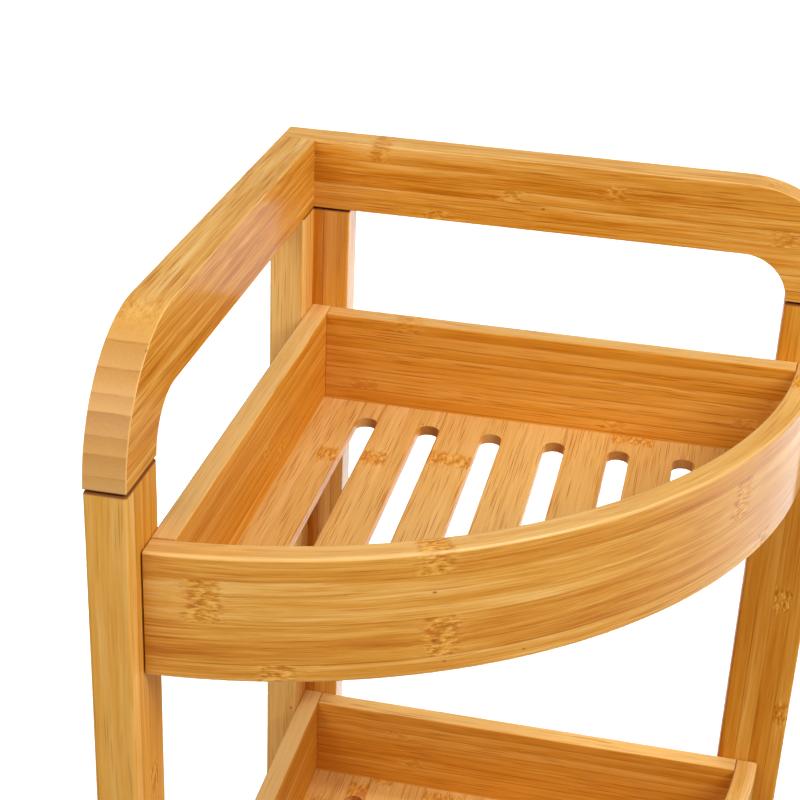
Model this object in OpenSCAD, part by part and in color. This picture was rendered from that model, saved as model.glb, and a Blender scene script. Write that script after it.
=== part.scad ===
// Free-standing corner shower caddy in laminated bamboo.
// Two flat side frames meet at a right angle in the rear corner and carry three quarter-round trays.
// Every board is drawn in the corner frame: X runs along the right wall, -Y along the left wall,
// and Z down from the tops of the rails. in_corner() then moves it to stand on the ground, centred.

/* [Side frames] */
// Length of each side frame along its wall
frame_l = 328; // [310:1:350]
// Height over all, from the ground to the tops of the rails
frame_h = 760; // [750:1:820]
// Thickness of the rails, posts and legs
board_t = 20; // [18:0.5:22]
// Height of the top rails
rail_h = 40; // [38:0.5:44]
// Width of the front posts
post_w = 38.5; // [36:0.5:40]
// Outer radius of the rail where it curves down onto the post
arm_r = 66; // [62:1:72]
// Width of the rear corner post, across either wall
leg_w = 41; // [40:0.5:46]

/* [Trays] */
// Depth of the first tray's rim below the tops of the rails
tray_top = 100; // [90:1:105]
// Distance from one tray down to the next
tray_pitch = 275; // [260:1:278]
// Height of the tray walls
tray_h = 65; // [60:1:68]
// Thickness of the straight tray walls
wall_t = 12; // [11:0.5:14]
// Outer radius of the curved front, about the rear corner
front_r = 315; // [300:1:316]
// Thickness of the curved front
front_t = 13; // [12:0.5:14]
// Depth of a tray, from its rim to its floor
floor_drop = 54; // [48:1:54]
// Thickness of the floor panel
floor_t = 6; // [5:0.5:6]

/* [Floor slots] */
// Width of a slot
slot_w = 12; // [8:0.5:14]
// Distance from one slot's middle to the next
slot_pitch = 36.5; // [34:0.5:37]
// Distance from the left wall to the first slot's middle
slot_start = 31.5; // [24:0.5:34]
// Bare floor left behind and in front of each slot
slot_margin = 20; // [16:1:26]

/* [Fasteners] */
// Diameter of the frame dowels
dowel_d = 8; // [6:1:8]
// Length of the frame dowels
dowel_l = 20; // [16:2:20]
// Diameter of the tray dowels
tray_dowel_d = 5; // [4:1:6]
// Shank diameter of the wood screws
screw_d = 4; // [3.5:0.5:4]
// Diameter of the rubber foot pads
pad_d = 16; // [12:1:18]
// Thickness of the rubber foot pads
pad_h = 3; // [2:0.5:5]

/* [Hidden] */
$fn = 96;
tray_names = ["top", "middle", "bottom"];
slot_count = 6;
groove = 5;             // depth of the groove that holds the floor panel
fit = 0.1;              // radial room round dowels and screws
cut = 1;                // overshoot of a cutting solid
inner_r = front_r - front_t;
wall_in = board_t + wall_t;              // inner faces of the straight tray walls
arm_inner_r = arm_r - rail_h;
arm_inner_x = frame_l - post_w - arm_inner_r;
post_mid = frame_l - post_w / 2;
half_t = board_t / 2;
leg_mid = (board_t + leg_w) / 2;         // middle of the part of a leg that clears the other frame
tray_dowel_in = 7;                       // how deep a tray dowel sits in the first board
tray_dowel_l = 16;
dowel_drops = [12, 34];                  // heights below the rim, clear of the screws
screw_drops = [22, 46];
head_r = 3.8;
head_h = 2.2;
screw_l = 30;
front_screw_l = 34;
corner_screw_l = 38;
corner_screw_z = [70, 290, 500, 700];
right_screw_x = wall_in + 4;             // in the back wall, just past the end of the left wall
pale = "#E8B266";
honey = "#DA9A45";
amber = "#C9812F";

// ---- placing ----

module in_corner() {
    translate([-frame_l / 2, frame_l / 2, frame_h]) children();
}

// Turns a shape drawn for the right frame into its twin for the left frame.
module to_left() {
    mirror([1, 1, 0]) children();
}

// Moves a tray's piece to the level of tray number k.
module at_tray(k) {
    in_corner() translate([0, 0, -tray_top - k * tray_pitch]) children();
}

// ---- shared shapes ----

// Side view of a rail from start to the front end, which curves down to the post joint.
module arm_outline(start) {
    bend = frame_l - arm_r;
    difference() {
        union() {
            translate([start, -arm_r]) square([bend - start, arm_r]);
            intersection() {
                translate([bend, -arm_r]) circle(arm_r);
                translate([bend, -arm_r]) square(arm_r);
            }
        }
        translate([start - cut, -arm_r - cut])
            square([arm_inner_x - start + cut, arm_inner_r + cut]);
        translate([arm_inner_x, -arm_r]) circle(arm_inner_r);
    }
}

module arm(start) {
    rotate([90, 0, 0]) linear_extrude(board_t) arm_outline(start);
}

module upright(x, w, top) {
    translate([x, -board_t, pad_h - frame_h]) cube([w, board_t, frame_h - pad_h - top]);
}

// A dowel or its hole, centred at the origin and lying along Z.
module peg(d, l) {
    translate([0, 0, -l / 2]) cylinder(d = d, h = l);
}

module arm_pegs(room) {
    for (side = [-1, 1])
        translate([post_mid + side * 9, -half_t, -arm_r]) peg(dowel_d + 2 * room, dowel_l);
}

module right_leg_pegs(room) {
    for (x = [half_t + 1, leg_w - half_t - 1])
        translate([x, -half_t, -rail_h]) peg(dowel_d + 2 * room, dowel_l);
}

module left_leg_peg(room) {
    translate([half_t, -leg_mid, -rail_h]) peg(dowel_d + 2 * room, dowel_l);
}

module rail_pegs(room) {
    for (z = [-10, -22])
        translate([half_t, -board_t, z]) rotate([90, 0, 0]) peg(dowel_d + 2 * room, dowel_l);
}

// A countersunk wood screw with its head flush at the origin, going in along -Z.
module screw_body(l, room) {
    tip = 4;
    r = screw_d / 2 + room;
    translate([0, 0, -head_h]) cylinder(r1 = r, r2 = head_r + room, h = head_h);
    translate([0, 0, tip - l]) cylinder(r = r, h = l - tip - head_h);
    translate([0, 0, -l]) cylinder(r1 = 0.4 + room, r2 = r, h = tip);
}

module screw(l) {
    recess = [3.6, 0.9, 1.4];
    difference() {
        screw_body(l, 0);
        for (turn = [0, 90])
            rotate(turn) translate([-recess.x / 2, -recess.y / 2, -recess.z])
                cube([recess.x, recess.y, recess.z + cut]);
    }
}

// Places a screw through the right frame, pushed in from the wall side along -Y.
module from_right_wall(x, z) {
    translate([x, 0, z]) rotate([-90, 0, 0]) children();
}

// Where the tray screws of the right frame are: two at the leg and two at the post, for each tray.
module right_tray_screw_places() {
    for (k = [0:len(tray_names) - 1], drop = screw_drops) {
        z = -tray_top - k * tray_pitch - drop;
        from_right_wall(right_screw_x, z) children(0);
        from_right_wall(post_mid, z) children(1);
    }
}

module left_tray_screw_places() {
    for (k = [0:len(tray_names) - 1], drop = screw_drops) {
        z = -tray_top - k * tray_pitch - drop;
        to_left() from_right_wall(leg_mid, z) children(0);
        to_left() from_right_wall(post_mid, z) children(1);
    }
}

module corner_screw_places() {
    for (z = corner_screw_z) from_right_wall(half_t, -z) children();
}

module right_tray_screw_holes() {
    right_tray_screw_places() {
        screw_body(screw_l, fit);
        screw_body(front_screw_l, fit);
    }
}

module left_tray_screw_holes() {
    left_tray_screw_places() {
        screw_body(screw_l, fit);
        screw_body(front_screw_l, fit);
    }
}

module corner_screw_holes() {
    corner_screw_places() screw_body(corner_screw_l, fit);
}

// Disc about the rear corner, through the height of a tray wall.
module corner_disc(r) {
    translate([0, 0, -tray_h]) cylinder(r = r, h = tray_h, $fn = 180);
}

// The corner of the room that lies beyond the planes x = inset and y = -inset.
module quadrant(inset, depth, h) {
    translate([inset, -frame_l, -depth]) cube([frame_l - inset, frame_l - inset, h]);
}

// The floor panel's outline: it reaches into the grooves of all the walls.
module floor_blank() {
    intersection() {
        translate([0, 0, -floor_drop - floor_t])
            cylinder(r = inner_r + groove, h = floor_t, $fn = 180);
        quadrant(wall_in - groove, floor_drop + floor_t, floor_t);
    }
}

// One slot through the floor, from the back margin to the margin inside the curved front.
module slot(x) {
    r = slot_w / 2;
    back = wall_in + slot_margin + r;
    front = sqrt(pow(inner_r - slot_margin, 2) - x * x) - r;
    translate([0, 0, -floor_drop - floor_t - cut]) {
        for (y = [back, front])
            translate([x, -y, 0]) cylinder(r = r, h = floor_t + 2 * cut);
        translate([x - r, -front, 0]) cube([slot_w, front - back, floor_t + 2 * cut]);
    }
}

// The six hidden dowels of a tray, or their holes: two at each joint between its walls.
module tray_pegs(room) {
    d = tray_dowel_d + 2 * room;
    mid = board_t + wall_t / 2;
    reach = sqrt(pow(inner_r, 2) - mid * mid);
    shift = tray_dowel_l / 2 - tray_dowel_in;
    for (drop = dowel_drops) {
        translate([wall_in + shift, -mid, -drop]) rotate([0, 90, 0]) peg(d, tray_dowel_l);
        translate([reach - shift, -mid, -drop]) rotate([0, 90, 0]) peg(d, tray_dowel_l);
        translate([mid, shift - reach, -drop]) rotate([90, 0, 0]) peg(d, tray_dowel_l);
    }
}

// Takes the dowel holes, the screw holes and the floor's groove out of a tray wall of tray k.
module fitted_wall(k) {
    difference() {
        at_tray(k) children();
        at_tray(k) tray_pegs(fit);
        at_tray(k) floor_blank();
        in_corner() left_tray_screw_holes();
        in_corner() right_tray_screw_holes();
    }
}

// ---- side frames ----

module right_rail() {
    color(pale) in_corner() difference() {
        arm(0);
        arm_pegs(fit);
        right_leg_pegs(fit);
        rail_pegs(fit);
    }
}

module left_rail() {
    color(honey) in_corner() difference() {
        to_left() arm(board_t);
        to_left() arm_pegs(fit);
        left_leg_peg(fit);
        rail_pegs(fit);
    }
}

module front_right_post() {
    color(honey) in_corner() difference() {
        upright(frame_l - post_w, post_w, arm_r);
        arm_pegs(fit);
        right_tray_screw_holes();
    }
}

module front_left_post() {
    color(pale) in_corner() difference() {
        to_left() upright(frame_l - post_w, post_w, arm_r);
        to_left() arm_pegs(fit);
        left_tray_screw_holes();
    }
}

module rear_right_leg() {
    color(amber) in_corner() difference() {
        upright(0, leg_w, rail_h);
        right_leg_pegs(fit);
        right_tray_screw_holes();
        corner_screw_holes();
    }
}

module rear_left_leg() {
    color(honey) in_corner() difference() {
        to_left() upright(board_t, leg_w - board_t, rail_h);
        left_leg_peg(fit);
        left_tray_screw_holes();
        corner_screw_holes();
    }
}

// ---- trays ----

module tray_left_wall(k) {
    color(honey) fitted_wall(k) intersection() {
        translate([board_t, -frame_l, -tray_h]) cube([wall_t, frame_l - board_t, tray_h]);
        corner_disc(inner_r);
    }
}

module tray_back_wall(k) {
    color(amber) fitted_wall(k) intersection() {
        translate([wall_in, -wall_in, -tray_h]) cube([frame_l - wall_in, wall_t, tray_h]);
        corner_disc(inner_r);
    }
}

module tray_front(k) {
    color(pale) fitted_wall(k) intersection() {
        difference() {
            corner_disc(front_r);
            translate([0, 0, -tray_h - cut]) cylinder(r = inner_r, h = tray_h + 2 * cut, $fn = 180);
        }
        quadrant(board_t, tray_h, tray_h);
    }
}

module tray_floor(k) {
    color(pale) at_tray(k) difference() {
        floor_blank();
        for (i = [0:slot_count - 1]) slot(wall_in + slot_start + i * slot_pitch);
    }
}

module tray_dowels(k) {
    color(honey) at_tray(k) tray_pegs(0);
}

// ---- fasteners and feet ----

module arm_dowels() {
    color(honey) in_corner() {
        arm_pegs(0);
        to_left() arm_pegs(0);
    }
}

module leg_dowels() {
    color(honey) in_corner() {
        right_leg_pegs(0);
        left_leg_peg(0);
    }
}

module rail_dowels() {
    color(honey) in_corner() rail_pegs(0);
}

module corner_screws() {
    color("silver") in_corner() corner_screw_places() screw(corner_screw_l);
}

module left_tray_screws() {
    color("silver") in_corner() left_tray_screw_places() {
        screw(screw_l);
        screw(front_screw_l);
    }
}

module right_tray_screws() {
    color("silver") in_corner() right_tray_screw_places() {
        screw(screw_l);
        screw(front_screw_l);
    }
}

module foot_pads() {
    color("dimgray") for (place = [[half_t, leg_mid], [half_t, post_mid], [leg_mid, half_t], [post_mid, half_t]])
        translate([place.x - frame_l / 2, frame_l / 2 - place.y, 0]) cylinder(d = pad_d, h = pad_h);
}

left_rail();
right_rail();
front_left_post();
front_right_post();
rear_left_leg();
rear_right_leg();
arm_dowels();
leg_dowels();
rail_dowels();
corner_screws();
left_tray_screws();
right_tray_screws();
foot_pads();
tray_left_wall(0);  // top_tray_left_wall
tray_back_wall(0);  // top_tray_back_wall
tray_front(0);  // top_tray_front
tray_floor(0);  // top_tray_floor
tray_dowels(0);  // top_tray_dowels
tray_left_wall(1);  // middle_tray_left_wall
tray_back_wall(1);  // middle_tray_back_wall
tray_front(1);  // middle_tray_front
tray_floor(1);  // middle_tray_floor
tray_dowels(1);  // middle_tray_dowels
tray_left_wall(2);  // bottom_tray_left_wall
tray_back_wall(2);  // bottom_tray_back_wall
tray_front(2);  // bottom_tray_front
tray_floor(2);  // bottom_tray_floor
tray_dowels(2);  // bottom_tray_dowels
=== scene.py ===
"""Corner shower caddy in laminated bamboo: the looks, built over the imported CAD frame.

Every board is drawn again here with eased edges and screw holes, and stands for its CAD node.
Sizes are in metres in the row frame. Each board's strips and knots are given in millimetres.
"""

import math
import random
from dataclasses import dataclass

import bmesh
import bpy
from mathutils import Matrix, Vector


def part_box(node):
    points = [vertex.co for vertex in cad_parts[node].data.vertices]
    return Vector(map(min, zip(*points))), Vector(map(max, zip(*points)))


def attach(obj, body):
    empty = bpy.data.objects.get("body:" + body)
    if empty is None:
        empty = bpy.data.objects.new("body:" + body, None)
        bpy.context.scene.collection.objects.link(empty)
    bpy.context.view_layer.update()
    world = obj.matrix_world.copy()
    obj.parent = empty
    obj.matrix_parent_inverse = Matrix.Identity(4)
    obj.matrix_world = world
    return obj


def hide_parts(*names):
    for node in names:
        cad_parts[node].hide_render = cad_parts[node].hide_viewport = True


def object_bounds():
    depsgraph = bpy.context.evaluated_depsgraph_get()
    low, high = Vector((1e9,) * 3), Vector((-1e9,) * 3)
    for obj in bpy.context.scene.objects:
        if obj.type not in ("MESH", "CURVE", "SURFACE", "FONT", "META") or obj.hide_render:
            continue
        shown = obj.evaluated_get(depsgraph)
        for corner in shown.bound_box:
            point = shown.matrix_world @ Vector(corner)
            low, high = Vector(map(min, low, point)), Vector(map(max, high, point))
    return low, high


MM = 0.001

# The camera: its place and turn, in the row frame.
CAMERA_PLACE = (0.0889, -0.7625, 1.0516)
CAMERA_YAW = 11.085
CAMERA_PITCH = 25.829
CAMERA_ROLL = 2.498
CAMERA_LENS = 77.32
CAMERA_SENSOR = 36.0

# Sizes that the CAD boxes don't give.
RAIL_H = 40 * MM
GROOVE = 5 * MM
FLOOR_DROP = 54 * MM
FLOOR_T = 6 * MM
SLOT_W = 12 * MM
SLOT_PITCH = 36.5 * MM
SLOT_START = 31.5 * MM
SLOT_MARGIN = 20 * MM
SLOTS = 6
HEAD_R = 3.9 * MM
HEAD_H = 2.2 * MM
SHANK_R = 2.1 * MM
HOLE_DEPTH = 30 * MM

# How far edges are rounded over.
SOFT = 1.8 * MM
RIM = 1.2 * MM
FRONT_RIM = 1.5 * MM
UNDER_RIM = 0.8 * MM
FLOOR_EASE = 0.45 * MM
SEAM = 0.35 * MM

# The open gaps: over the right leg, under the rails' curved ends, and at the curved fronts' ends.
LEG_GAP = 1.1 * MM
ARM_GAP = 1.1 * MM
END_GAP = 0.8 * MM

# How many parts the curves are drawn in.
OUTER_BEND_PARTS = 36
INNER_BEND_PARTS = 24
RIM_PARTS = 4
FRONT_PARTS = 96
FLOOR_PARTS = 64
SLOT_END_PARTS = 16
HOLE_SIDES = 32

# How far apart points may be that count as on one face, and how far outside a board as on it.
TOUCHING = 0.01 * MM
INSIDE = 0.1 * MM

# Edges turned by more degrees than these are eased, or stay sharp when a piece is shaded smooth.
EASED_ANGLE = 35
SHARP_ANGLE = 38

# The stage.
GROUND_REACH = 9.0
ROOM_BRIGHT_TOWARD = (-0.1, 0.88, 0.46)

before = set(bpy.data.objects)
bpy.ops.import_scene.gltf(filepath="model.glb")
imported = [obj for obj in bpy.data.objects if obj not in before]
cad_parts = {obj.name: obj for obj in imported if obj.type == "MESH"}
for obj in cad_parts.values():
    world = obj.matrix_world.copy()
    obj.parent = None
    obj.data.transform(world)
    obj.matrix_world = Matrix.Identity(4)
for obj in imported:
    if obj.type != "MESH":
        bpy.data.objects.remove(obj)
cad_lo, cad_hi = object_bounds()
corner = Vector((cad_lo.x, cad_hi.y, cad_hi.z))


def srgb(r, g, b):
    """A colour given as 0 to 255 in sRGB, as the linear RGBA that shaders take."""
    linear = [((c / 255 + 0.055) / 1.055) ** 2.4 if c > 10 else c / 255 / 12.92 for c in (r, g, b)]
    return (*linear, 1.0)


# ---------------------------------------------------------------- materials


class Shader:
    """A material under construction, with short calls for the nodes it needs."""

    def __init__(self, name):
        self.material = bpy.data.materials.new(name)
        self.material.use_nodes = True
        self.tree = self.material.node_tree
        self.tree.nodes.clear()

    def node(self, kind, **settings):
        made = self.tree.nodes.new("ShaderNode" + kind)
        for key, value in settings.items():
            setattr(made, key, value)
        return made

    def feed(self, socket, value):
        if isinstance(value, bpy.types.NodeSocket):
            self.tree.links.new(value, socket)
        else:
            socket.default_value = value

    def math(self, operation, *values, clamp=False):
        made = self.node("Math", operation=operation, use_clamp=clamp)
        for socket, value in zip(made.inputs, values):
            self.feed(socket, value)
        return made.outputs[0]

    def vector(self, x, y, z):
        made = self.node("CombineXYZ")
        for socket, value in zip(made.inputs, (x, y, z)):
            self.feed(socket, value)
        return made.outputs[0]

    def split(self, vector):
        made = self.node("SeparateXYZ")
        self.feed(made.inputs[0], vector)
        return made.outputs

    def noise(self, vector, scale=1.0, detail=2.0, roughness=0.5, distortion=0.0):
        made = self.node("TexNoise", noise_dimensions="3D")
        self.feed(made.inputs["Vector"], vector)
        self.feed(made.inputs["Scale"], scale)
        self.feed(made.inputs["Detail"], detail)
        self.feed(made.inputs["Roughness"], roughness)
        self.feed(made.inputs["Distortion"], distortion)
        return made.outputs[0]

    def span(self, value, low, high, to_low=0.0, to_high=1.0):
        """value from low..high mapped smoothly to to_low..to_high, with ends clamped."""
        made = self.node("MapRange", interpolation_type="SMOOTHSTEP")
        for socket, number in zip(made.inputs, (value, low, high, to_low, to_high)):
            self.feed(socket, number)
        return made.outputs[0]

    def ramp(self, factor, stops, mode="LINEAR"):
        made = self.node("ValToRGB")
        made.color_ramp.interpolation = mode
        elements = made.color_ramp.elements
        while len(elements) < len(stops):
            elements.new(1.0)
        for element, (place, colour) in zip(elements, stops):
            element.position = place
            element.color = colour
        self.feed(made.inputs[0], factor)
        return made.outputs[0]

    def mix(self, factor, a, b):
        """a where factor is 0, and b where it is 1."""
        made = self.node("Mix", data_type="RGBA", blend_type="MIX")
        self.feed(made.inputs[0], factor)
        self.feed(made.inputs[6], a)
        self.feed(made.inputs[7], b)
        return made.outputs[2]

    def object_mm(self):
        """The point's place in the row frame, in millimetres, as three sockets."""
        place = self.node("TexCoord").outputs["Object"]
        scaled = self.node("VectorMath", operation="SCALE")
        self.feed(scaled.inputs[0], place)
        scaled.inputs["Scale"].default_value = 1000.0
        return self.split(scaled.outputs[0])

    def bump(self, height, depth):
        made = self.node("Bump")
        made.inputs["Distance"].default_value = depth
        self.feed(made.inputs["Height"], height)
        return made.outputs[0]

    def finish(self, colour, roughness, normal, coat_normal=None, **constants):
        surface = self.node("BsdfPrincipled")
        self.feed(surface.inputs["Base Color"], colour)
        self.feed(surface.inputs["Roughness"], roughness)
        self.feed(surface.inputs["Normal"], normal)
        if coat_normal is not None:
            self.feed(surface.inputs["Coat Normal"], coat_normal)
        for name, value in constants.items():
            surface.inputs[name].default_value = value
        out = self.node("OutputMaterial")
        self.tree.links.new(surface.outputs[0], out.inputs[0])
        return self.material


# The wood's colours, from dark to pale, each with the value on a ramp that it stands for.
VARNISHED = (
    (0.12, srgb(162, 84, 6)),
    (0.34, srgb(196, 115, 17)),
    (0.52, srgb(214, 142, 41)),
    (0.72, srgb(229, 166, 73)),
    (0.95, srgb(240, 193, 116)),
)
# Painted light: paler, less orange colours for faces that look up, as if lit more from above.
PAINTED_TOP_LIGHT = (
    (0.12, srgb(194, 128, 50)),
    (0.34, srgb(212, 152, 72)),
    (0.52, srgb(222, 170, 92)),
    (0.72, srgb(231, 184, 110)),
    (0.95, srgb(240, 202, 136)),
)
SAWN_ACROSS = (
    (0.0, srgb(158, 92, 34)),
    (0.15, srgb(184, 128, 68)),
    (0.50, srgb(210, 156, 90)),
    (0.85, srgb(226, 176, 108)),
)
KNOT_FIBRES = (
    (0.36, srgb(178, 98, 8)),
    (0.46, srgb(208, 134, 28)),
    (0.54, srgb(228, 164, 62)),
    (0.68, srgb(240, 188, 96)),
)
DARK_FIBRE = srgb(164, 84, 6)
GLUE = srgb(158, 78, 6)
KNOT_BLOT = srgb(190, 94, 6)
SPECK = srgb(112, 60, 30)
# Pale edges: sanded-through wear with a painted highlight along their rounding.
PALE_EDGE_WEAR_AND_HIGHLIGHT = srgb(246, 204, 134)
JOINT_SHADOW = srgb(110, 44, 6)

# Lengths in the wood's pattern, in mm.
GLUE_HALF_WIDTH = 0.45
SAW_WAVER = 0.7  # of the strips' borders where they are sawn across
SHIFT_ALONG = 937.0  # the most that a strip's fibres are shifted along
SHIFT_ACROSS = 211.0  # and across
SEED_SHIFT = 71.3  # between the patterns of two boards whose seeds differ by one
KNOT_SOLID = 5.5  # from a knot's middle to where it starts to fade
KNOT_EDGE = 10.0  # and to where it ends
KNOT_RAGGED = 13.0  # how much its ends waver from fibre to fibre
BENT_EDGE = 30.0  # how far from a knot the fibres around it are pushed about
PUSH = 3.0  # and by how much
FRONT_ARC_R = 312.0  # the radius at which a curved board's fibres have their true length

# Where a strip's knot goes to be past its board's ends, for the boards that show none on that strip.
PAST_END = 200
WALL_PAST_END = 220

GLUE_STOPS_MAX = 27  # with a stop for each end, a ramp stays within Blender's 32
WOOD_BUMP = 0.00007  # metres
COAT_BUMP = 0.00009


@dataclass
class Look:
    """How one board's wood looks. Lengths are in mm."""

    tone: float = 0.0  # how much paler than middling wood
    painted_top_brightness: float = 0.0  # painted light: how much paler still where it faces up
    ends_painted_shade: float = 0.0  # how much paler than middling where it is sawn across; below zero it paints shade there
    tone_spread: float = 0.16  # how much the strips differ
    tones: dict = None  # a tone from 0 to 1 for some of the strips, by number
    streaks: float = 1.1  # contrast of the fine streaks
    waviness: float = 4.0  # how far the fibres wander
    dashes: float = 0.4  # strength of the thin dark fibre lines
    dash_pitch: float = 1.2  # distance between those lines
    dash_floor: float = 0.35  # share of that strength left where the lines fade
    knots: dict = None  # where some of the strips have a knot, by number
    knot_period: float = 300.0  # distance from a strip's knot to its next one
    knot_share: float = 1.0  # how strongly a knot shows
    knot_size: float = 1.0  # its length, compared with a usual one
    painted_top_light: float = 0.0  # how far faces that look up take the painted top light
    gloss: float = 0.45  # weight of the clear coat
    joint_shadow_z: float = None  # height of an open joint, in metres, where the board gets a painted shadow


def strip_ramps(strips, look, rng):
    """Stops for ramps across a board.

    The first holds three numbers for each strip: its knot's place, its tone and its shift along the fibres.
    The others hold the strength of the glue lines, and which side of its strip a point is nearer to.
    """
    total = sum(strips)
    per_strip, lines, at = [], [[]], 0.0
    for index, width in enumerate(strips):
        place, shade, shift = rng.random(), rng.random(), rng.random()
        if look.knots and index in look.knots:
            place = (look.knots[index] / look.knot_period) % 1.0
        if look.tones and index in look.tones:
            shade = look.tones[index]
        per_strip.append((at / total, (place, shade, shift, 1.0)))
        at += width
        if index < len(strips) - 1:
            strength = rng.uniform(0.55, 1.0)
            if len(lines[-1]) >= GLUE_STOPS_MAX:
                lines.append([])
            lines[-1].append(((at - GLUE_HALF_WIDTH) / total, (0.0, 1.0, 0.0, 1.0)))
            lines[-1].append((at / total, (strength, 0.5, 0.0, 1.0)))
            lines[-1].append(((at + GLUE_HALF_WIDTH) / total, (0.0, 0.0, 0.0, 1.0)))
    first, last = (0.0, (0.0, 0.0, 0.0, 1.0)), (1.0, (0.0, 1.0, 0.0, 1.0))
    return per_strip, [[first, *group, last] for group in lines]


class BoardShader(Shader):
    """A shader in a board's own directions, in mm: u along the fibres, v across the strips, w across both.

    end_grain is 1 where the board is sawn across its fibres, and side_grain is 1 where it isn't.
    """

    def __init__(self, name, grain, stack):
        super().__init__(name)
        x, y, z = self.object_mm()
        self.z = z
        self.normal = self.split(self.node("TexCoord").outputs["Normal"])
        if grain == "arc":
            out_x = self.math("SUBTRACT", x, corner.x * 1000)
            out_y = self.math("SUBTRACT", corner.y * 1000, y)
            square_x = self.math("MULTIPLY", out_x, out_x)
            square_y = self.math("MULTIPLY", out_y, out_y)
            radius = self.math("SQRT", self.math("ADD", square_x, square_y))
            self.u = self.math("MULTIPLY", self.math("ARCTAN2", out_x, out_y), FRONT_ARC_R)
            self.v, self.w = z, radius
            along_x = self.math("MULTIPLY", self.normal[0], out_y)
            along_y = self.math("MULTIPLY", self.normal[1], out_x)
            facing = self.math("ABSOLUTE", self.math("DIVIDE", self.math("ADD", along_x, along_y), radius))
        else:
            axes = {"X": x, "Y": y, "Z": z}
            self.u = axes.pop(grain)
            self.v = axes.pop(stack)
            (self.w,) = axes.values()
            facing = self.math("ABSOLUTE", self.normal["XYZ".index(grain)])
        self.end_grain = self.span(facing, 0.28, 0.65)
        self.side_grain = self.span(facing, 0.10, 0.50, 1.0, 0.15)

    def scaled(self, u, v, w, along, side):
        """A place to look up a pattern at, with along and side as cycles per mm on and across the fibres."""
        return self.vector(
            self.math("MULTIPLY", u, along), self.math("MULTIPLY", v, side), self.math("MULTIPLY", w, side))

    def stretched(self, u, v, w, along, side, **settings):
        return self.noise(self.scaled(u, v, w, along, side), **settings)

    def centred(self, value, size):
        """A value from 0..1 as one from -size/2..size/2."""
        return self.math("MULTIPLY", self.math("SUBTRACT", value, 0.5), size)

    def add_centred(self, value, size, base):
        """base plus a value from 0..1 as one from -size/2..size/2."""
        return self.math("MULTIPLY_ADD", self.math("SUBTRACT", value, 0.5), size, base)

    def spots(self, place, outside, inside):
        """1 within the distance inside of scattered points, and 0 past the distance outside."""
        cells = self.node("TexVoronoi", feature="F1", voronoi_dimensions="3D")
        self.feed(cells.inputs["Vector"], place)
        cells.inputs["Scale"].default_value = 1.0
        return self.span(cells.outputs["Distance"], outside, inside)


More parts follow.
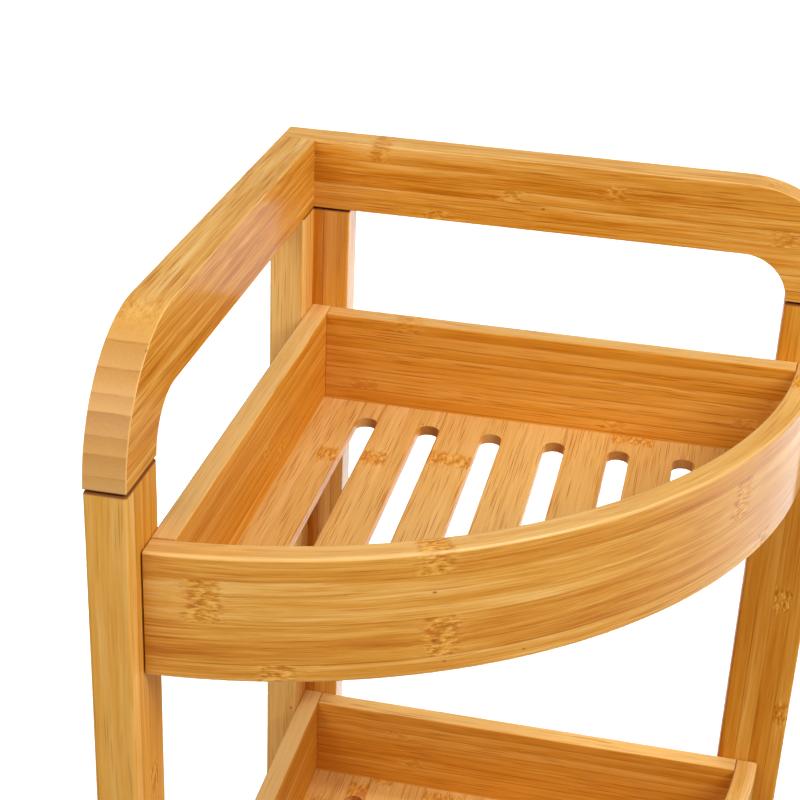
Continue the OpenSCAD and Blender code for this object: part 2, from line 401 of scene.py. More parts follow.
def bamboo(name, seed, grain, stack, strips, start, look):
    """Varnished laminated bamboo, whose strips (widths in mm) are stacked along stack from start.

    The fibres run along grain. Where that is "arc", they follow the arc about the rear corner.
    """
    rng = random.Random(seed)
    s = BoardShader(name, grain, stack)
    u, v, w = s.u, s.v, s.w

    # The strip that a point is in. Where strips are sawn across, their borders waver a little.
    uneven = s.noise(s.vector(
        s.math("MULTIPLY", u, 0.05), s.math("MULTIPLY", v, 0.05), s.math("MULTIPLY", w, 0.12)))
    v_cut = s.math("MULTIPLY_ADD", s.centred(uneven, SAW_WAVER), s.end_grain, v)
    across = s.math("DIVIDE", s.math("SUBTRACT", v_cut, start), sum(strips), clamp=True)
    per_strip, glue = strip_ramps(strips, look, rng)
    knot_at, strip_tone, strip_hash = s.split(s.ramp(across, per_strip, "CONSTANT"))
    glue_line, ring_side, _ = s.split(s.ramp(across, glue[0]))
    for group in glue[1:]:
        glue_line = s.math("ADD", glue_line, s.split(s.ramp(across, group))[0])

    # Each strip was cut from another place, so its fibres are shifted.
    us = s.math("ADD", u, s.math("MULTIPLY_ADD", strip_hash, SHIFT_ALONG, seed * SEED_SHIFT))
    ws = s.math("ADD", w, s.math("MULTIPLY", strip_hash, SHIFT_ACROSS))

    # Distance along the fibres to the strip's nearest knot, with a ragged edge.
    ragged = s.stretched(us, v, ws, 0.03, 0.75)
    knot_u = s.math("MULTIPLY", knot_at, look.knot_period)
    half_period = look.knot_period / 2
    to_knot = s.math("WRAP", s.math("SUBTRACT", u, knot_u), half_period, -half_period)
    off_knot = s.math("ABSOLUTE", s.math("ADD", to_knot, s.centred(ragged, KNOT_RAGGED)))
    size = look.knot_size
    knot = s.span(off_knot, KNOT_EDGE * size, KNOT_SOLID * size, 0.0, look.knot_share)
    round_knot = s.span(off_knot, BENT_EDGE, 6.0)

    # Fibres wave slowly along the board and are pushed about near a knot.
    wave = s.stretched(us, v, ws, 0.009, 0.03)
    wiggle = s.stretched(us, v, ws, 0.13, 0.3)
    bend = s.centred(wave, look.waviness)
    push = s.math("MULTIPLY", s.centred(wiggle, PUSH), round_knot)
    vs = s.math("ADD", s.math("ADD", v, bend), push)
    wb = s.math("ADD", ws, bend)

    # Streaks from fine to broad, patches where the dark lines and the glue show less, and pores.
    fine = s.stretched(us, vs, wb, 0.018, 0.95, detail=4.0, roughness=0.75)
    mid = s.stretched(us, vs, wb, 0.010, 0.32, detail=1.5)
    broad = s.stretched(us, vs, wb, 0.006, 0.12, detail=1.0)
    patch = s.stretched(us, v, ws, 0.022, 0.12, detail=1.0)
    pores = s.stretched(us, v, ws, 0.05, 1.6)

    # The shade at a point, from 0 for dark to 1 for pale, and its colour.
    shade = s.math("ADD", s.math("MULTIPLY", s.centred(fine, look.streaks), s.side_grain), 0.5 + look.tone)
    bands = s.math("ADD", s.centred(mid, 0.45 * look.streaks), s.centred(broad, 0.45 * look.streaks))
    shade = s.math("MULTIPLY_ADD", bands, s.side_grain, shade)
    shade = s.add_centred(strip_tone, look.tone_spread, shade)
    shade = s.add_centred(ring_side, 0.07, shade)
    shade = s.math("MULTIPLY_ADD", round_knot, 0.05, shade)
    wood = s.ramp(shade, VARNISHED)
    # Painted light: faces that look up are mixed towards paler colours, as if lit more from above.
    if look.painted_top_light:
        lit_top_wood = s.ramp(s.math("ADD", shade, look.painted_top_brightness), PAINTED_TOP_LIGHT)
        wood = s.mix(s.span(s.normal[2], 0.60, 0.95, 0.0, look.painted_top_light), wood, lit_top_wood)

    # Thin dark fibre lines that come and go.
    dark = s.spots(s.scaled(us, vs, wb, 0.020, 1 / look.dash_pitch), 0.34, 0.16)
    dark = s.math("MULTIPLY", dark, s.span(patch, 0.36, 0.56, look.dash_floor, 1.0))
    dark = s.math("MULTIPLY", dark, s.side_grain)
    wood = s.mix(s.math("MULTIPLY", dark, look.dashes), wood, DARK_FIBRE)

    # Sawn across the fibres the wood is greyer, with a gradient in each strip and pores for dots.
    # A negative end tone paints shade on these faces, such as the floor's slot walls.
    ends = s.add_centred(pores, 0.35, 0.5 + look.ends_painted_shade)
    ends = s.add_centred(strip_tone, 0.28, ends)
    ends = s.add_centred(ring_side, -0.34, ends)
    wood = s.mix(s.math("MULTIPLY", s.end_grain, 0.9), wood, s.ramp(ends, SAWN_ACROSS))

    # The glue line between two strips comes and goes.
    glue_share = s.math("MULTIPLY", glue_line, s.span(patch, 0.40, 0.62, 0.95, 0.40))
    glue_share = s.math("MULTIPLY", glue_share, s.span(s.end_grain, 0.0, 1.0, 1.0, 0.6))
    wood = s.mix(glue_share, wood, GLUE)

    # The knot: short broken fibres, pale between orange-brown flecks.
    burl = s.stretched(us, vs, wb, 0.20, 0.75, roughness=0.55, distortion=0.25)
    blot = s.stretched(us, v, ws, 0.15, 0.20)
    knot_colour = s.mix(s.span(blot, 0.55, 0.68, 0.0, 0.8), s.ramp(burl, KNOT_FIBRES), KNOT_BLOT)
    wood = s.mix(s.math("MULTIPLY", knot, 0.85), wood, knot_colour)

    # A few pinhead specks.
    specks = s.spots(s.scaled(u, v, ws, 0.026, 0.05), 0.040, 0.018)
    wood = s.mix(s.math("MULTIPLY", specks, 0.7), wood, SPECK)

    # Edges are paler, partly sanded-through wear and partly a painted highlight on their rounding, and an
    # open joint gets a painted shadow.
    wear_and_highlight = s.node("Attribute", attribute_name="wear_and_highlight").outputs["Fac"]
    wood = s.mix(s.math("MULTIPLY", wear_and_highlight, 0.5), wood, PALE_EDGE_WEAR_AND_HIGHLIGHT)
    # Painted shadow: a dark band along the open joint, where shade falls into the gap.
    if look.joint_shadow_z is not None:
        off_joint = s.math("ABSOLUTE", s.math("SUBTRACT", s.z, look.joint_shadow_z * 1000))
        wood = s.mix(s.span(off_joint, 1.5, 0.5, 0.0, 0.9), wood, JOINT_SHADOW)

    # The fibres stand out a little under a coat that follows them in part, over a broad ripple.
    rough = s.math("MULTIPLY_ADD", fine, 0.2, 0.40)
    rough = s.math("MULTIPLY_ADD", knot, 0.08, rough)
    ripple = s.stretched(u, v, w, 0.018, 0.05)
    height = s.math("MULTIPLY_ADD", fine, 0.35, ripple)
    height = s.math("SUBTRACT", height, s.math("MULTIPLY", glue_line, 0.15))
    height = s.math("SUBTRACT", height, s.math("MULTIPLY", dark, 0.12))
    height = s.math("ADD", height, s.math("MULTIPLY", s.math("MULTIPLY", burl, knot), 0.20))
    coat = s.math("MULTIPLY_ADD", height, 0.35, s.math("MULTIPLY", ripple, 0.6))
    constants = {
        "IOR": 1.46, "Specular IOR Level": 0.08,
        "Coat Weight": look.gloss, "Coat Roughness": 0.14, "Coat IOR": 1.45,
    }
    return s.finish(wood, rough, s.bump(height, WOOD_BUMP), s.bump(coat, COAT_BUMP), **constants)


def dowel_wood():
    s = Shader("bare_dowel_wood")
    x, y, z = s.object_mm()
    fibre = s.noise(s.vector(
        s.math("MULTIPLY", x, 0.7), s.math("MULTIPLY", y, 0.7), s.math("MULTIPLY", z, 0.2)), detail=3.0)
    colour = s.ramp(fibre, [(0.3, srgb(196, 150, 98)), (0.7, srgb(228, 192, 142))])
    return s.finish(colour, s.math("MULTIPLY_ADD", fibre, 0.2, 0.6), s.bump(fibre, 0.0001))


def steel():
    s = Shader("screw_zinc")
    x, y, z = s.object_mm()
    place = s.vector(x, y, z)
    cloud = s.noise(place, scale=0.5, detail=3.0)
    scratch = s.noise(s.vector(
        s.math("MULTIPLY", x, 6.0), s.math("MULTIPLY", y, 6.0), s.math("MULTIPLY", z, 0.8)))
    colour = s.ramp(cloud, [(0.3, srgb(150, 150, 148)), (0.7, srgb(206, 206, 200))])
    rough = s.math("MULTIPLY_ADD", scratch, 0.25, 0.22)
    return s.finish(colour, rough, s.bump(s.math("ADD", scratch, cloud), 0.00003), Metallic=1.0)


def rubber():
    s = Shader("pad_rubber")
    x, y, z = s.object_mm()
    place = s.vector(x, y, z)
    grit = s.noise(place, scale=2.2, detail=4.0, roughness=0.7)
    dust = s.noise(place, scale=0.25)
    colour = s.ramp(dust, [(0.35, srgb(38, 38, 38)), (0.75, srgb(66, 65, 63))])
    return s.finish(colour, s.math("MULTIPLY_ADD", grit, 0.2, 0.66), s.bump(grit, 0.0003))


# ---------------------------------------------------------------- mesh helpers


def near(a, b, room=0.4 * MM):
    return abs(a - b) < room


def to_object(name, bm):
    bm.normal_update()
    mesh = bpy.data.meshes.new(name)
    bm.to_mesh(mesh)
    bm.free()
    made = bpy.data.objects.new(name, mesh)
    bpy.context.scene.collection.objects.link(made)
    return made


def add_solid(bm, rings):
    """Adds a closed solid from rings of the same count of points, with a flat cap at each end."""
    loops = [[bm.verts.new(p) for p in ring] for ring in rings]
    count = len(loops[0])
    for a, b in zip(loops, loops[1:]):
        for i in range(count):
            j = (i + 1) % count
            bm.faces.new((a[i], a[j], b[j], b[i]))
    bm.faces.new(list(reversed(loops[0])))
    bm.faces.new(loops[-1])
    return [vert for loop in loops for vert in loop]


def skin(rings):
    """A mesh of one closed solid, made as add_solid says."""
    bm = bmesh.new()
    add_solid(bm, rings)
    bmesh.ops.recalc_face_normals(bm, faces=bm.faces)
    return bm


def box_board(lo, hi):
    ring = [(lo.x, lo.y), (hi.x, lo.y), (hi.x, hi.y), (lo.x, hi.y)]
    return skin([[(x, y, z) for x, y in ring] for z in (lo.z, hi.z)])


def wear_and_highlight_layer(bm):
    return bm.verts.layers.float.get("wear_and_highlight") or bm.verts.layers.float.new("wear_and_highlight")


def ease(bm, width, pick, segments=3, wear_and_highlight=1.0):
    """Rounds over the sharp edges that pick(middle, direction) chooses, and marks the new points for the
    pale edge colour: wear and a painted highlight.
    """
    chosen = []
    for edge in bm.edges:
        if len(edge.link_faces) != 2 or edge.calc_face_angle(0.0) < math.radians(EASED_ANGLE):
            continue
        middle = (edge.verts[0].co + edge.verts[1].co) / 2
        direction = (edge.verts[1].co - edge.verts[0].co).normalized()
        if pick(middle, direction):
            chosen.append(edge)
    if not chosen:
        return
    layer = wear_and_highlight_layer(bm)
    made = bmesh.ops.bevel(
        bm, geom=chosen, offset=width, segments=segments, profile=0.5, affect="EDGES", clamp_overlap=True)
    new_faces = set(made["faces"])
    for face in new_faces:
        for vert in face.verts:
            if all(other in new_faces for other in vert.link_faces):
                vert[layer] = max(vert[layer], wear_and_highlight)


def smooth(piece):
    piece.data.shade_smooth()
    piece.data.set_sharp_from_angle(angle=math.radians(SHARP_ANGLE))
    weighted = piece.modifiers.new("weighted", "WEIGHTED_NORMAL")
    weighted.keep_sharp = True
    weighted.weight = 80


def settle(piece):
    """Applies the piece's modifiers."""
    bpy.context.view_layer.update()
    graph = bpy.context.evaluated_depsgraph_get()
    mesh = bpy.data.meshes.new_from_object(piece.evaluated_get(graph))
    old = piece.data
    piece.modifiers.clear()
    piece.data = mesh
    bpy.data.meshes.remove(old)


def screw_heads(node, axis):
    """Where the screws of a CAD node meet the wall face that they go in from, one point for each."""
    lo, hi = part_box(node)
    face = hi.y if axis == "Y" else lo.x
    found = []
    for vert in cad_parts[node].data.vertices:
        depth = vert.co.y if axis == "Y" else vert.co.x
        if not near(depth, face, TOUCHING):
            continue
        # Points of one head lie within its diameter of each other, and heads are further apart.
        group = next((g for g in found if (g[0] - vert.co).length < 9 * MM), None)
        if group is None:
            found.append([vert.co.copy()])
        else:
            group.append(vert.co.copy())
    places = []
    for group in found:
        low = Vector(map(min, *group))
        high = Vector(map(max, *group))
        places.append((low + high) / 2)
    return places


def drill(piece, places, axis):
    """Cuts a countersunk screw hole at each place, going in from the wall face."""
    inward = Vector((0, -1, 0)) if axis == "Y" else Vector((1, 0, 0))
    turn = inward.to_track_quat("Z", "Y").to_matrix().to_4x4()
    lo = Vector(map(min, *[v.co for v in piece.data.vertices]))
    hi = Vector(map(max, *[v.co for v in piece.data.vertices]))
    places = [p for p in places if all(lo[i] - INSIDE <= p[i] <= hi[i] + INSIDE for i in range(3))]
    if not places:
        return
    rings = []
    for depth, radius in ((-1.0 * MM, HEAD_R), (0.0, HEAD_R), (HEAD_H, SHANK_R), (HOLE_DEPTH, SHANK_R)):
        angles = [2 * math.pi * i / HOLE_SIDES for i in range(HOLE_SIDES)]
        rings.append([Vector((radius * math.cos(a), radius * math.sin(a), depth)) for a in angles])
    bm = bmesh.new()
    for place in places:
        hole = add_solid(bm, rings)
        bmesh.ops.transform(bm, matrix=Matrix.Translation(place) @ turn, verts=hole)
    bmesh.ops.recalc_face_normals(bm, faces=bm.faces)
    cutter = to_object("cutter", bm)
    cut = piece.modifiers.new("cut", "BOOLEAN")
    cut.operation = "DIFFERENCE"
    cut.solver = "EXACT"
    cut.object = cutter
    settle(piece)
    bpy.data.objects.remove(cutter)


def show(name, bm, node, material, holes=None):
    """Turns a board's mesh into the piece that stands for its CAD node."""
    wear_and_highlight_layer(bm)
    piece = to_object(name, bm)
    if holes:
        drill(piece, *holes)
    piece.data.materials.clear()
    piece.data.materials.append(material)
    smooth(piece)
    settle(piece)
    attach(piece, "root")
    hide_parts(node)


# ---------------------------------------------------------------- side frames

arm_r = cad_hi.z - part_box("right_rail")[0].z
post_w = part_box("front_right_post")[1].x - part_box("front_right_post")[0].x
inner_bend = arm_r - RAIL_H


def rail_outline(start, end):
    """The rail's side view as (place along the rail, height) with its bend at the end."""
    top = cad_hi.z
    points = [(start, top)]
    for i in range(OUTER_BEND_PARTS + 1):
        angle = math.pi / 2 * (1 - i / OUTER_BEND_PARTS)
        points.append((end - arm_r + arm_r * math.cos(angle), top - arm_r + arm_r * math.sin(angle)))
    points[-1] = (end, top - arm_r + ARM_GAP)
    middle = end - post_w - inner_bend
    points.append((end - post_w, top - arm_r + ARM_GAP))
    for i in range(1, INNER_BEND_PARTS + 1):
        angle = math.pi / 2 * i / INNER_BEND_PARTS
        points.append((middle + inner_bend * math.cos(angle), top - arm_r + inner_bend * math.sin(angle)))
    points.append((start, top - RAIL_H))
    return points


def rail(side):
    lo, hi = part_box(side + "_rail")
    right = side == "right"
    if right:
        outline = rail_outline(lo.x, hi.x)
        rings = [[(s, y, z) for s, z in outline] for y in (lo.y, hi.y)]
        long_axis, thin_axis, start = 0, 1, lo.x
    else:
        outline = rail_outline(-hi.y, -lo.y)
        rings = [[(x, -s, z) for s, z in outline] for x in (lo.x, hi.x)]
        long_axis, thin_axis, start = 1, 0, hi.y
    bm = skin(rings)
    foot_z = cad_hi.z - arm_r + ARM_GAP

    def at_butt(middle):
        return near(middle[long_axis], start)

    def along_side(middle, direction):
        along = abs(direction[thin_axis]) < 0.1 and not at_butt(middle)
        return along or abs(direction[thin_axis]) > 0.9 and near(middle.z, foot_z)

    ease(bm, SOFT, along_side)
    ease(bm, SOFT * 0.7 if right else SEAM, lambda m, d: at_butt(m), segments=2, wear_and_highlight=0.4)
    if right:
        strips = [7.5, 9, 8.5, 7, 9.5, 6.5, 8.5, 9.5]
        knots = {7: -106, 3: -73, 5: -31, 6: 27, 4: 120}
    else:
        strips = [8, 9.5, 7.5, 9, 6.5, 8.5, 8, 9]
        knots = dict.fromkeys(range(len(strips)), PAST_END)
    # The rail's top gets painted top light.
    look = Look(
        tone=0.05 if right else 0.07, tone_spread=0.15, streaks=1.15, dashes=0.75,
        knots=knots, knot_period=420, knot_share=0.75, knot_size=0.7,
        # The open joint under the curved end gets a painted shadow.
        painted_top_light=0.45, gloss=0.22, joint_shadow_z=cad_hi.z - arm_r + ARM_GAP / 2)
    seed, grain = (11, "X") if right else (23, "Y")
    material = bamboo("bamboo_" + side + "_rail", seed, grain, "Z", strips, (cad_hi.z - arm_r) * 1000, look)
    show(side + "_rail_board", bm, side + "_rail", material)


def upright(node, seed, stack, strips, holes, top_ease, top_gap=0.0, seam=None, gloss=0.06, **looks):
    """A post or a leg. top_gap is the open joint over it, and seam picks the edges on a glued joint."""
    lo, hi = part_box(node)
    hi = Vector((hi.x, hi.y, hi.z - top_gap))
    bm = box_board(lo, hi)

    def long_edge(middle, direction):
        return abs(direction.z) > 0.9 and not (seam and seam(middle))

    ease(bm, SOFT * 0.9, long_edge)
    if seam:
        ease(bm, SEAM, lambda m, d: abs(d.z) > 0.9 and seam(m), segments=2, wear_and_highlight=0.3)
    ease(bm, top_ease, lambda m, d: abs(d.z) < 0.1 and near(m.z, hi.z), wear_and_highlight=0.5)
    ease(bm, 1.0 * MM, lambda m, d: abs(d.z) < 0.1 and near(m.z, lo.z), segments=2, wear_and_highlight=0.5)
    look = Look(
        tone_spread=0.30, waviness=2.0, streaks=0.6, knot_period=330, gloss=gloss,
        # The open joint at the top gets a painted shadow.
        joint_shadow_z=hi.z + top_gap / 2, **looks)
    start = (lo.x if stack == "X" else lo.y) * 1000
    material = bamboo("bamboo_" + node, seed, "Z", stack, strips, start, look)
    show(node + "_board", bm, node, material, holes)


left_holes = (screw_heads("left_tray_screws", "X"), "X")
right_heads = screw_heads("right_tray_screws", "Y")
right_holes = (right_heads, "Y")
corner_holes = (right_heads + screw_heads("corner_screws", "Y"), "Y")

rail("right")
rail("left")
# Strip 0 alone makes the front face: its pale tone against darker inner strips is partly real strip tone and
# partly painted light, the front lighter than the inner face.
upright(
    "front_left_post", 31, "Y", [9, 10.5, 9, 10], left_holes, top_ease=1.3 * MM,
    tone=0.22, tones={0: 0.7, 1: 0.1, 2: 0.0, 3: 0.2}, knots={0: 500, 1: 420, 2: 530, 3: 450})
upright("front_right_post", 37, "X", [10, 9, 10.5, 9], right_holes, top_ease=1.3 * MM, tone=0.1)
leg_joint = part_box("rear_left_leg")[1].y
# Strip 0 alone makes the front end face: its pale tone against darker strips is partly real strip tone and
# partly painted light, the front lighter than the inner face.
upright(
    "rear_left_leg", 41, "Y", [7, 7.5, 6.5], left_holes, top_ease=1.0 * MM,
    seam=lambda m: near(m.y, leg_joint),
    tone=0.36, tones={0: 0.7, 1: 0.25, 2: 0.25}, knots={0: 470, 1: 430, 2: 520})
upright(
    "rear_right_leg", 43, "X", [8, 9, 9.2, 8, 6.8], corner_holes, top_ease=0.5 * MM, top_gap=LEG_GAP,
    gloss=0.8, tone=0.06, tones={2: 0.15, 3: 0.8, 4: 0.7}, knots={0: 480, 1: 440, 2: 530, 3: 500, 4: 460})

# ---------------------------------------------------------------- trays


def wall_profile(outer, inner, top, bottom, floor_top, ease_r):
    """A tray wall's section as (place across it, height), with rounded rims and the floor's groove."""
    way = 1 if inner > outer else -1
    points = []

    def corner_arc(cx, cz, radius, start):
        for i in range(RIM_PARTS + 1):
            angle = start - math.pi / 2 * i / RIM_PARTS
            points.append((cx + way * radius * math.cos(angle), cz + radius * math.sin(angle)))

    corner_arc(outer + way * ease_r, bottom + ease_r, ease_r, -math.pi / 2)
    corner_arc(outer + way * ease_r, top - ease_r, ease_r, math.pi)
    corner_arc(inner - way * ease_r, top - ease_r, ease_r, math.pi / 2)
    points.append((inner, floor_top))
    points.append((inner - way * GROOVE, floor_top))
    points.append((inner - way * GROOVE, floor_top - FLOOR_T))
    points.append((inner, floor_top - FLOOR_T))
    corner_arc(inner - way * UNDER_RIM, bottom + UNDER_RIM, UNDER_RIM, 0.0)
    return points


def mark_rims(bm, is_flat):
    """Marks the points that lie on a rounded edge for the pale edge colour: wear and a painted highlight."""
    layer = wear_and_highlight_layer(bm)
    for vert in bm.verts:
        if not is_flat(vert.co):
            vert[layer] = 1.0


# Widths of the strips from a board's lower or left edge on, and where the top tray's boards have knots.
LEFT_WALL_STRIPS = [6, 7, 6.5, 7.5, 6, 6.5, 7, 6, 6.5, 6]
BACK_WALL_STRIPS = [6.5, 6, 7, 6.5, 6, 7, 6.5, 6, 7, 6.5]
FRONT_STRIPS = {"top": [9.6, 21.2, 22.4, 11.8], "middle": [16, 21, 20, 8], "bottom": [12, 20, 21.5, 11.5]}
FLOOR_STRIPS = [22, 12.5, 12, 14.5, 22, 24.5, 24, 23, 25, 24, 23, 26, 24]
FLOOR_FIRST_CUT = 4  # mm that the floor's first strip was cut down by
LEFT_WALL_KNOTS = {"top": {5: 6, **dict.fromkeys((6, 7, 8, 9), WALL_PAST_END)}}
FRONT_KNOTS = {"top": {0: 80, 1: 155, 2: 47, 3: 151}}
FLOOR_KNOTS = {"top": {**dict.fromkeys(range(13), PAST_END), 1: 63, 3: 65, 5: 74, 9: 130}}


def tray(name, seed):
    left_lo, left_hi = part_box(name + "_tray_left_wall")
    back_lo, back_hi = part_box(name + "_tray_back_wall")
    front_lo, front_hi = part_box(name + "_tray_front")
    top, bottom = left_hi.z, left_lo.z
    floor_top = top - FLOOR_DROP
    outer_r = math.hypot(front_hi.x - corner.x, corner.y - back_hi.y)
    inner_r = math.hypot(back_hi.x - corner.x, corner.y - back_hi.y)

    def reach(across):
        """How far from the corner the curved front's inner face is, at a distance across."""
        return math.sqrt(inner_r**2 - across**2)

    # Left wall: runs from the back to the curved front.
    profile = wall_profile(left_lo.x, left_hi.x, top, bottom, floor_top, RIM)
    rear_end = [(a, left_hi.y, z) for a, z in profile]
    front_end = [(a, corner.y - reach(a - corner.x), z) for a, z in profile]
    bm = skin([rear_end, front_end])
    ease(
        bm, SEAM, lambda m, d: near(m.y, left_hi.y) or near(m.y, left_lo.y, 2 * MM), segments=1, wear_and_highlight=0.2)
    # Its top rim gets painted top light, paler still.
    look = Look(
        tone=0.02, painted_top_brightness=0.35, streaks=0.75, dashes=0.25,
        knots=LEFT_WALL_KNOTS.get(name), knot_period=520, knot_share=0.6, painted_top_light=0.7, gloss=0.0)
    material = bamboo(
        f"bamboo_{name}_left_wall", seed + 1, "Y", "Z", LEFT_WALL_STRIPS, bottom * 1000, look)
    show(name + "_left_wall_board", bm, name + "_tray_left_wall", material)

    # Back wall: butts against the left wall's inner face.
    profile = wall_profile(back_hi.y, back_lo.y, top, bottom, floor_top, RIM)
    left_end = [(back_lo.x, a, z) for a, z in profile]
    front_end = [(corner.x + reach(corner.y - a), a, z) for a, z in profile]
    bm = skin([left_end, front_end])
    ease(
        bm, SEAM, lambda m, d: near(m.x, back_lo.x) or near(m.x, back_hi.x, 2 * MM), segments=1, wear_and_highlight=0.2)
    # Its top rim gets painted top light.
    look = Look(
        tone=0.07, painted_top_brightness=0.1, streaks=0.6, dashes=0.75, dash_pitch=0.9,
        knot_period=900, knot_share=0.5, painted_top_light=1.0, gloss=0.2)
    material = bamboo(
        f"bamboo_{name}_back_wall", seed + 2, "X", "Z", BACK_WALL_STRIPS, bottom * 1000, look)
    show(name + "_back_wall_board", bm, name + "_tray_back_wall", material)

    # Curved front: its section swept about the rear corner, and cut by the two side frames' inner faces.
    profile = wall_profile(outer_r, inner_r, top, bottom, floor_top, FRONT_RIM)
    gap_x = front_lo.x - corner.x + END_GAP
    gap_y = corner.y - front_hi.y + END_GAP
    rings = []
    for i in range(FRONT_PARTS + 1):
        ring = []
        for r, z in profile:
            first, last = math.asin(gap_x / r), math.pi / 2 - math.asin(gap_y / r)
            angle = first + (last - first) * i / FRONT_PARTS
            ring.append((corner.x + r * math.sin(angle), corner.y - r * math.cos(angle), z))
        rings.append(ring)
    bm = skin(rings)

    def flat_part(co):
        r = math.hypot(co.x - corner.x, co.y - corner.y)
        on_face = near(r, outer_r, 0.05 * MM) or near(r, inner_r, 0.05 * MM)
        level = near(co.z, top, 0.05 * MM) or near(co.z, bottom, 0.05 * MM)
        return on_face or level

    def at_end(middle, direction):
        return near(middle.x, corner.x + gap_x, 0.1 * MM) or near(middle.y, corner.y - gap_y, 0.1 * MM)

    mark_rims(bm, flat_part)
    ease(bm, 0.5 * MM, at_end, segments=2, wear_and_highlight=0.2)
    # Its top rim gets painted top light.
    look = Look(tone=0.11, knots=FRONT_KNOTS.get(name), knot_period=290, painted_top_light=0.8, gloss=0.6)
    material = bamboo(f"bamboo_{name}_front", seed + 3, "arc", "Z", FRONT_STRIPS[name], bottom * 1000, look)
    show(name + "_front_board", bm, name + "_tray_front", material)

    floor(name, seed + 4, floor_top, inner_r)


def floor_loops(inset, inner_r):
    """The floor's outline and its slots, as points from the rear corner."""
    radius = inner_r + GROOVE
    first = math.asin(inset / radius)
    outline = [(inset, -inset)]
    for i in range(FLOOR_PARTS + 1):
        angle = first + (math.pi / 2 - 2 * first) * i / FLOOR_PARTS
        outline.append((radius * math.cos(angle), -radius * math.sin(angle)))
    loops = [outline]
    wall_in = inset + GROOVE
    half = SLOT_W / 2
    for k in range(SLOTS):
        x = wall_in + SLOT_START + k * SLOT_PITCH
        back = -(wall_in + SLOT_MARGIN + half)
        front = half - math.sqrt((inner_r - SLOT_MARGIN) ** 2 - x * x)
        slot = []
        for centre, start in ((back, 0.0), (front, math.pi)):
            for i in range(SLOT_END_PARTS + 1):
                angle = start + math.pi * i / SLOT_END_PARTS
                slot.append((x + half * math.cos(angle), centre + half * math.sin(angle)))
        loops.append(slot)
    return loops


def floor(name, seed, floor_top, inner_r):
    """A tray's slotted panel, from a flat filled curve that is thickened and eased."""
    lo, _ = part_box(name + "_tray_floor")
    curve = bpy.data.curves.new(name + "_floor_curve", "CURVE")
    curve.dimensions = "2D"
    curve.fill_mode = "BOTH"
    curve.extrude = FLOOR_T / 2 - FLOOR_EASE
    curve.bevel_depth = FLOOR_EASE
    curve.bevel_resolution = 2
    curve.offset = -FLOOR_EASE
    for loop in floor_loops(lo.x - corner.x, inner_r):
        spline = curve.splines.new("POLY")
        spline.points.add(len(loop) - 1)
        for point, (x, y) in zip(spline.points, loop):
            point.co = (corner.x + x, corner.y + y, 0.0, 1.0)
        spline.use_cyclic_u = True
    holder = bpy.data.objects.new(name + "_floor_curve", curve)
    bpy.context.scene.collection.objects.link(holder)
    bpy.context.view_layer.update()
    graph = bpy.context.evaluated_depsgraph_get()
    mesh = bpy.data.meshes.new_from_object(holder.evaluated_get(graph))
    bpy.data.objects.remove(holder)
    bm = bmesh.new()
    bm.from_mesh(mesh)
    bpy.data.meshes.remove(mesh)
    bmesh.ops.remove_doubles(bm, verts=bm.verts, dist=1e-6)
    bmesh.ops.translate(bm, verts=bm.verts, vec=(0, 0, floor_top - FLOOR_T / 2))
    bmesh.ops.recalc_face_normals(bm, faces=bm.faces)
    # The top gets painted top light, and the faces sawn across, the slots' walls among them, get a painted
    # shade.
    look = Look(
        tone=0.10, ends_painted_shade=-0.45, tone_spread=0.10, streaks=0.75, waviness=1.0,
        dashes=0.8, dash_pitch=0.7, dash_floor=0.8,
        knots=FLOOR_KNOTS.get(name), knot_period=400, knot_share=0.85, painted_top_light=1.0, gloss=0.3)
    start = lo.x * 1000 - FLOOR_FIRST_CUT
    material = bamboo(f"bamboo_{name}_floor", seed, "Y", "X", FLOOR_STRIPS, start, look)
    show(name + "_floor_board", bm, name + "_tray_floor", material)


for order, tray_name in enumerate(("top", "middle", "bottom")):
    tray(tray_name, 100 + 10 * order)

# ---------------------------------------------------------------- CAD nodes that stay

steel_material = steel()
dowel_material = dowel_wood()
rubber_material = rubber()
for node_name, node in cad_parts.items():
    if "screws" in node_name:
        chosen = steel_material
    elif "dowels" in node_name:
        chosen = dowel_material
    elif node_name == "foot_pads":
        chosen = rubber_material
    else:
        continue
    node.data.materials.clear()
    node.data.materials.append(chosen)

# ---------------------------------------------------------------- stage


def stage_floor():
    bm = bmesh.new()
    bmesh.ops.create_grid(bm, x_segments=8, y_segments=8, size=GROUND_REACH)
    ground = to_object("ground", bm)
    s = Shader("pale_ground")
    x, y, z = s.object_mm()
    soft = s.noise(s.vector(x, y, z), scale=0.004, detail=3.0)
    colour = s.ramp(soft, [(0.3, (0.50, 0.50, 0.50, 1)), (0.7, (0.54, 0.54, 0.54, 1))])
    rough = s.math("MULTIPLY_ADD", soft, 0.1, 0.8)
    ground.data.materials.append(s.finish(colour, rough, s.bump(soft, 0.0001)))


def area_light(name, place, target, size, power, spread=180.0):
    data = bpy.data.lights.new(name, "AREA")
    data.shape = "RECTANGLE"
    data.size, data.size_y = size
    data.energy = power
    data.spread = math.radians(spread)
    lamp = bpy.data.objects.new(name, data)
    lamp.location = place
    lamp.rotation_euler = (Vector(target) - Vector(place)).to_track_quat("-Z", "Y").to_euler()
    bpy.context.scene.collection.objects.link(lamp)


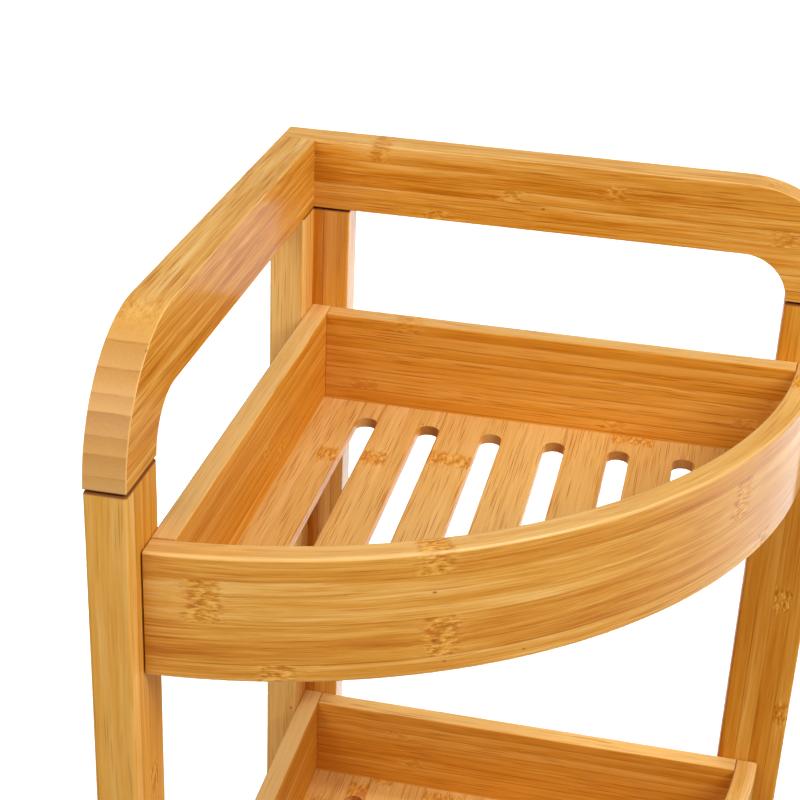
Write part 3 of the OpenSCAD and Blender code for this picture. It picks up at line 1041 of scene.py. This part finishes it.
def white_world(dim, bright):
    """A white room, brightest behind and a little above the object and dim elsewhere."""
    world = bpy.data.worlds.new("white_room")
    bpy.context.scene.world = world
    world.use_nodes = True
    tree = world.node_tree
    tree.nodes.clear()
    place = tree.nodes.new("ShaderNodeTexCoord")
    toward = tree.nodes.new("ShaderNodeVectorMath")
    toward.operation = "DOT_PRODUCT"
    toward.inputs[1].default_value = Vector(ROOM_BRIGHT_TOWARD).normalized()
    spread = tree.nodes.new("ShaderNodeMapRange")
    spread.interpolation_type = "SMOOTHSTEP"
    # Dim up to a cosine of 0.35 to that direction, and bright from 0.95 on.
    for socket, value in zip(spread.inputs[1:5], (0.35, 0.95, dim, bright)):
        socket.default_value = value
    back = tree.nodes.new("ShaderNodeBackground")
    out = tree.nodes.new("ShaderNodeOutputWorld")
    tree.links.new(place.outputs["Generated"], toward.inputs[0])
    tree.links.new(toward.outputs["Value"], spread.inputs[0])
    tree.links.new(spread.outputs[0], back.inputs["Strength"])
    tree.links.new(back.outputs[0], out.inputs[0])


stage_floor()
white_world(dim=0.24, bright=0.52)
upper_tray = Vector((0.0, 0.0, 0.6))
area_light("key", place=(1.45, -0.7, 2.1), target=upper_tray, size=(1.3, 1.3), power=43)
area_light("overhead", place=(-0.1, 0.0, 2.3), target=upper_tray, size=(1.4, 1.4), power=2)
area_light("fill", place=(-0.9, -1.6, 1.8), target=upper_tray, size=(1.4, 1.4), power=20)

# This one lights only the ground behind the object, which is the white that the camera sees.
area_light(
    "backdrop", place=(-0.1, 2.45, 1.3), target=(-0.1, 2.45, 0.0), size=(5.4, 4.2), power=190, spread=56)

camera = bpy.data.objects.new("camera", bpy.data.cameras.new("camera"))
camera.data.lens = CAMERA_LENS
camera.data.sensor_width = CAMERA_SENSOR
camera.data.clip_end = 60.0
turn = Matrix.Rotation(math.radians(CAMERA_YAW), 4, "Z")
turn = turn @ Matrix.Rotation(math.radians(90 - CAMERA_PITCH), 4, "X")
turn = turn @ Matrix.Rotation(math.radians(CAMERA_ROLL), 4, "Z")
camera.matrix_world = Matrix.Translation(CAMERA_PLACE) @ turn
bpy.context.scene.collection.objects.link(camera)
bpy.context.scene.camera = camera
bpy.context.scene.view_settings.view_transform = "Standard"
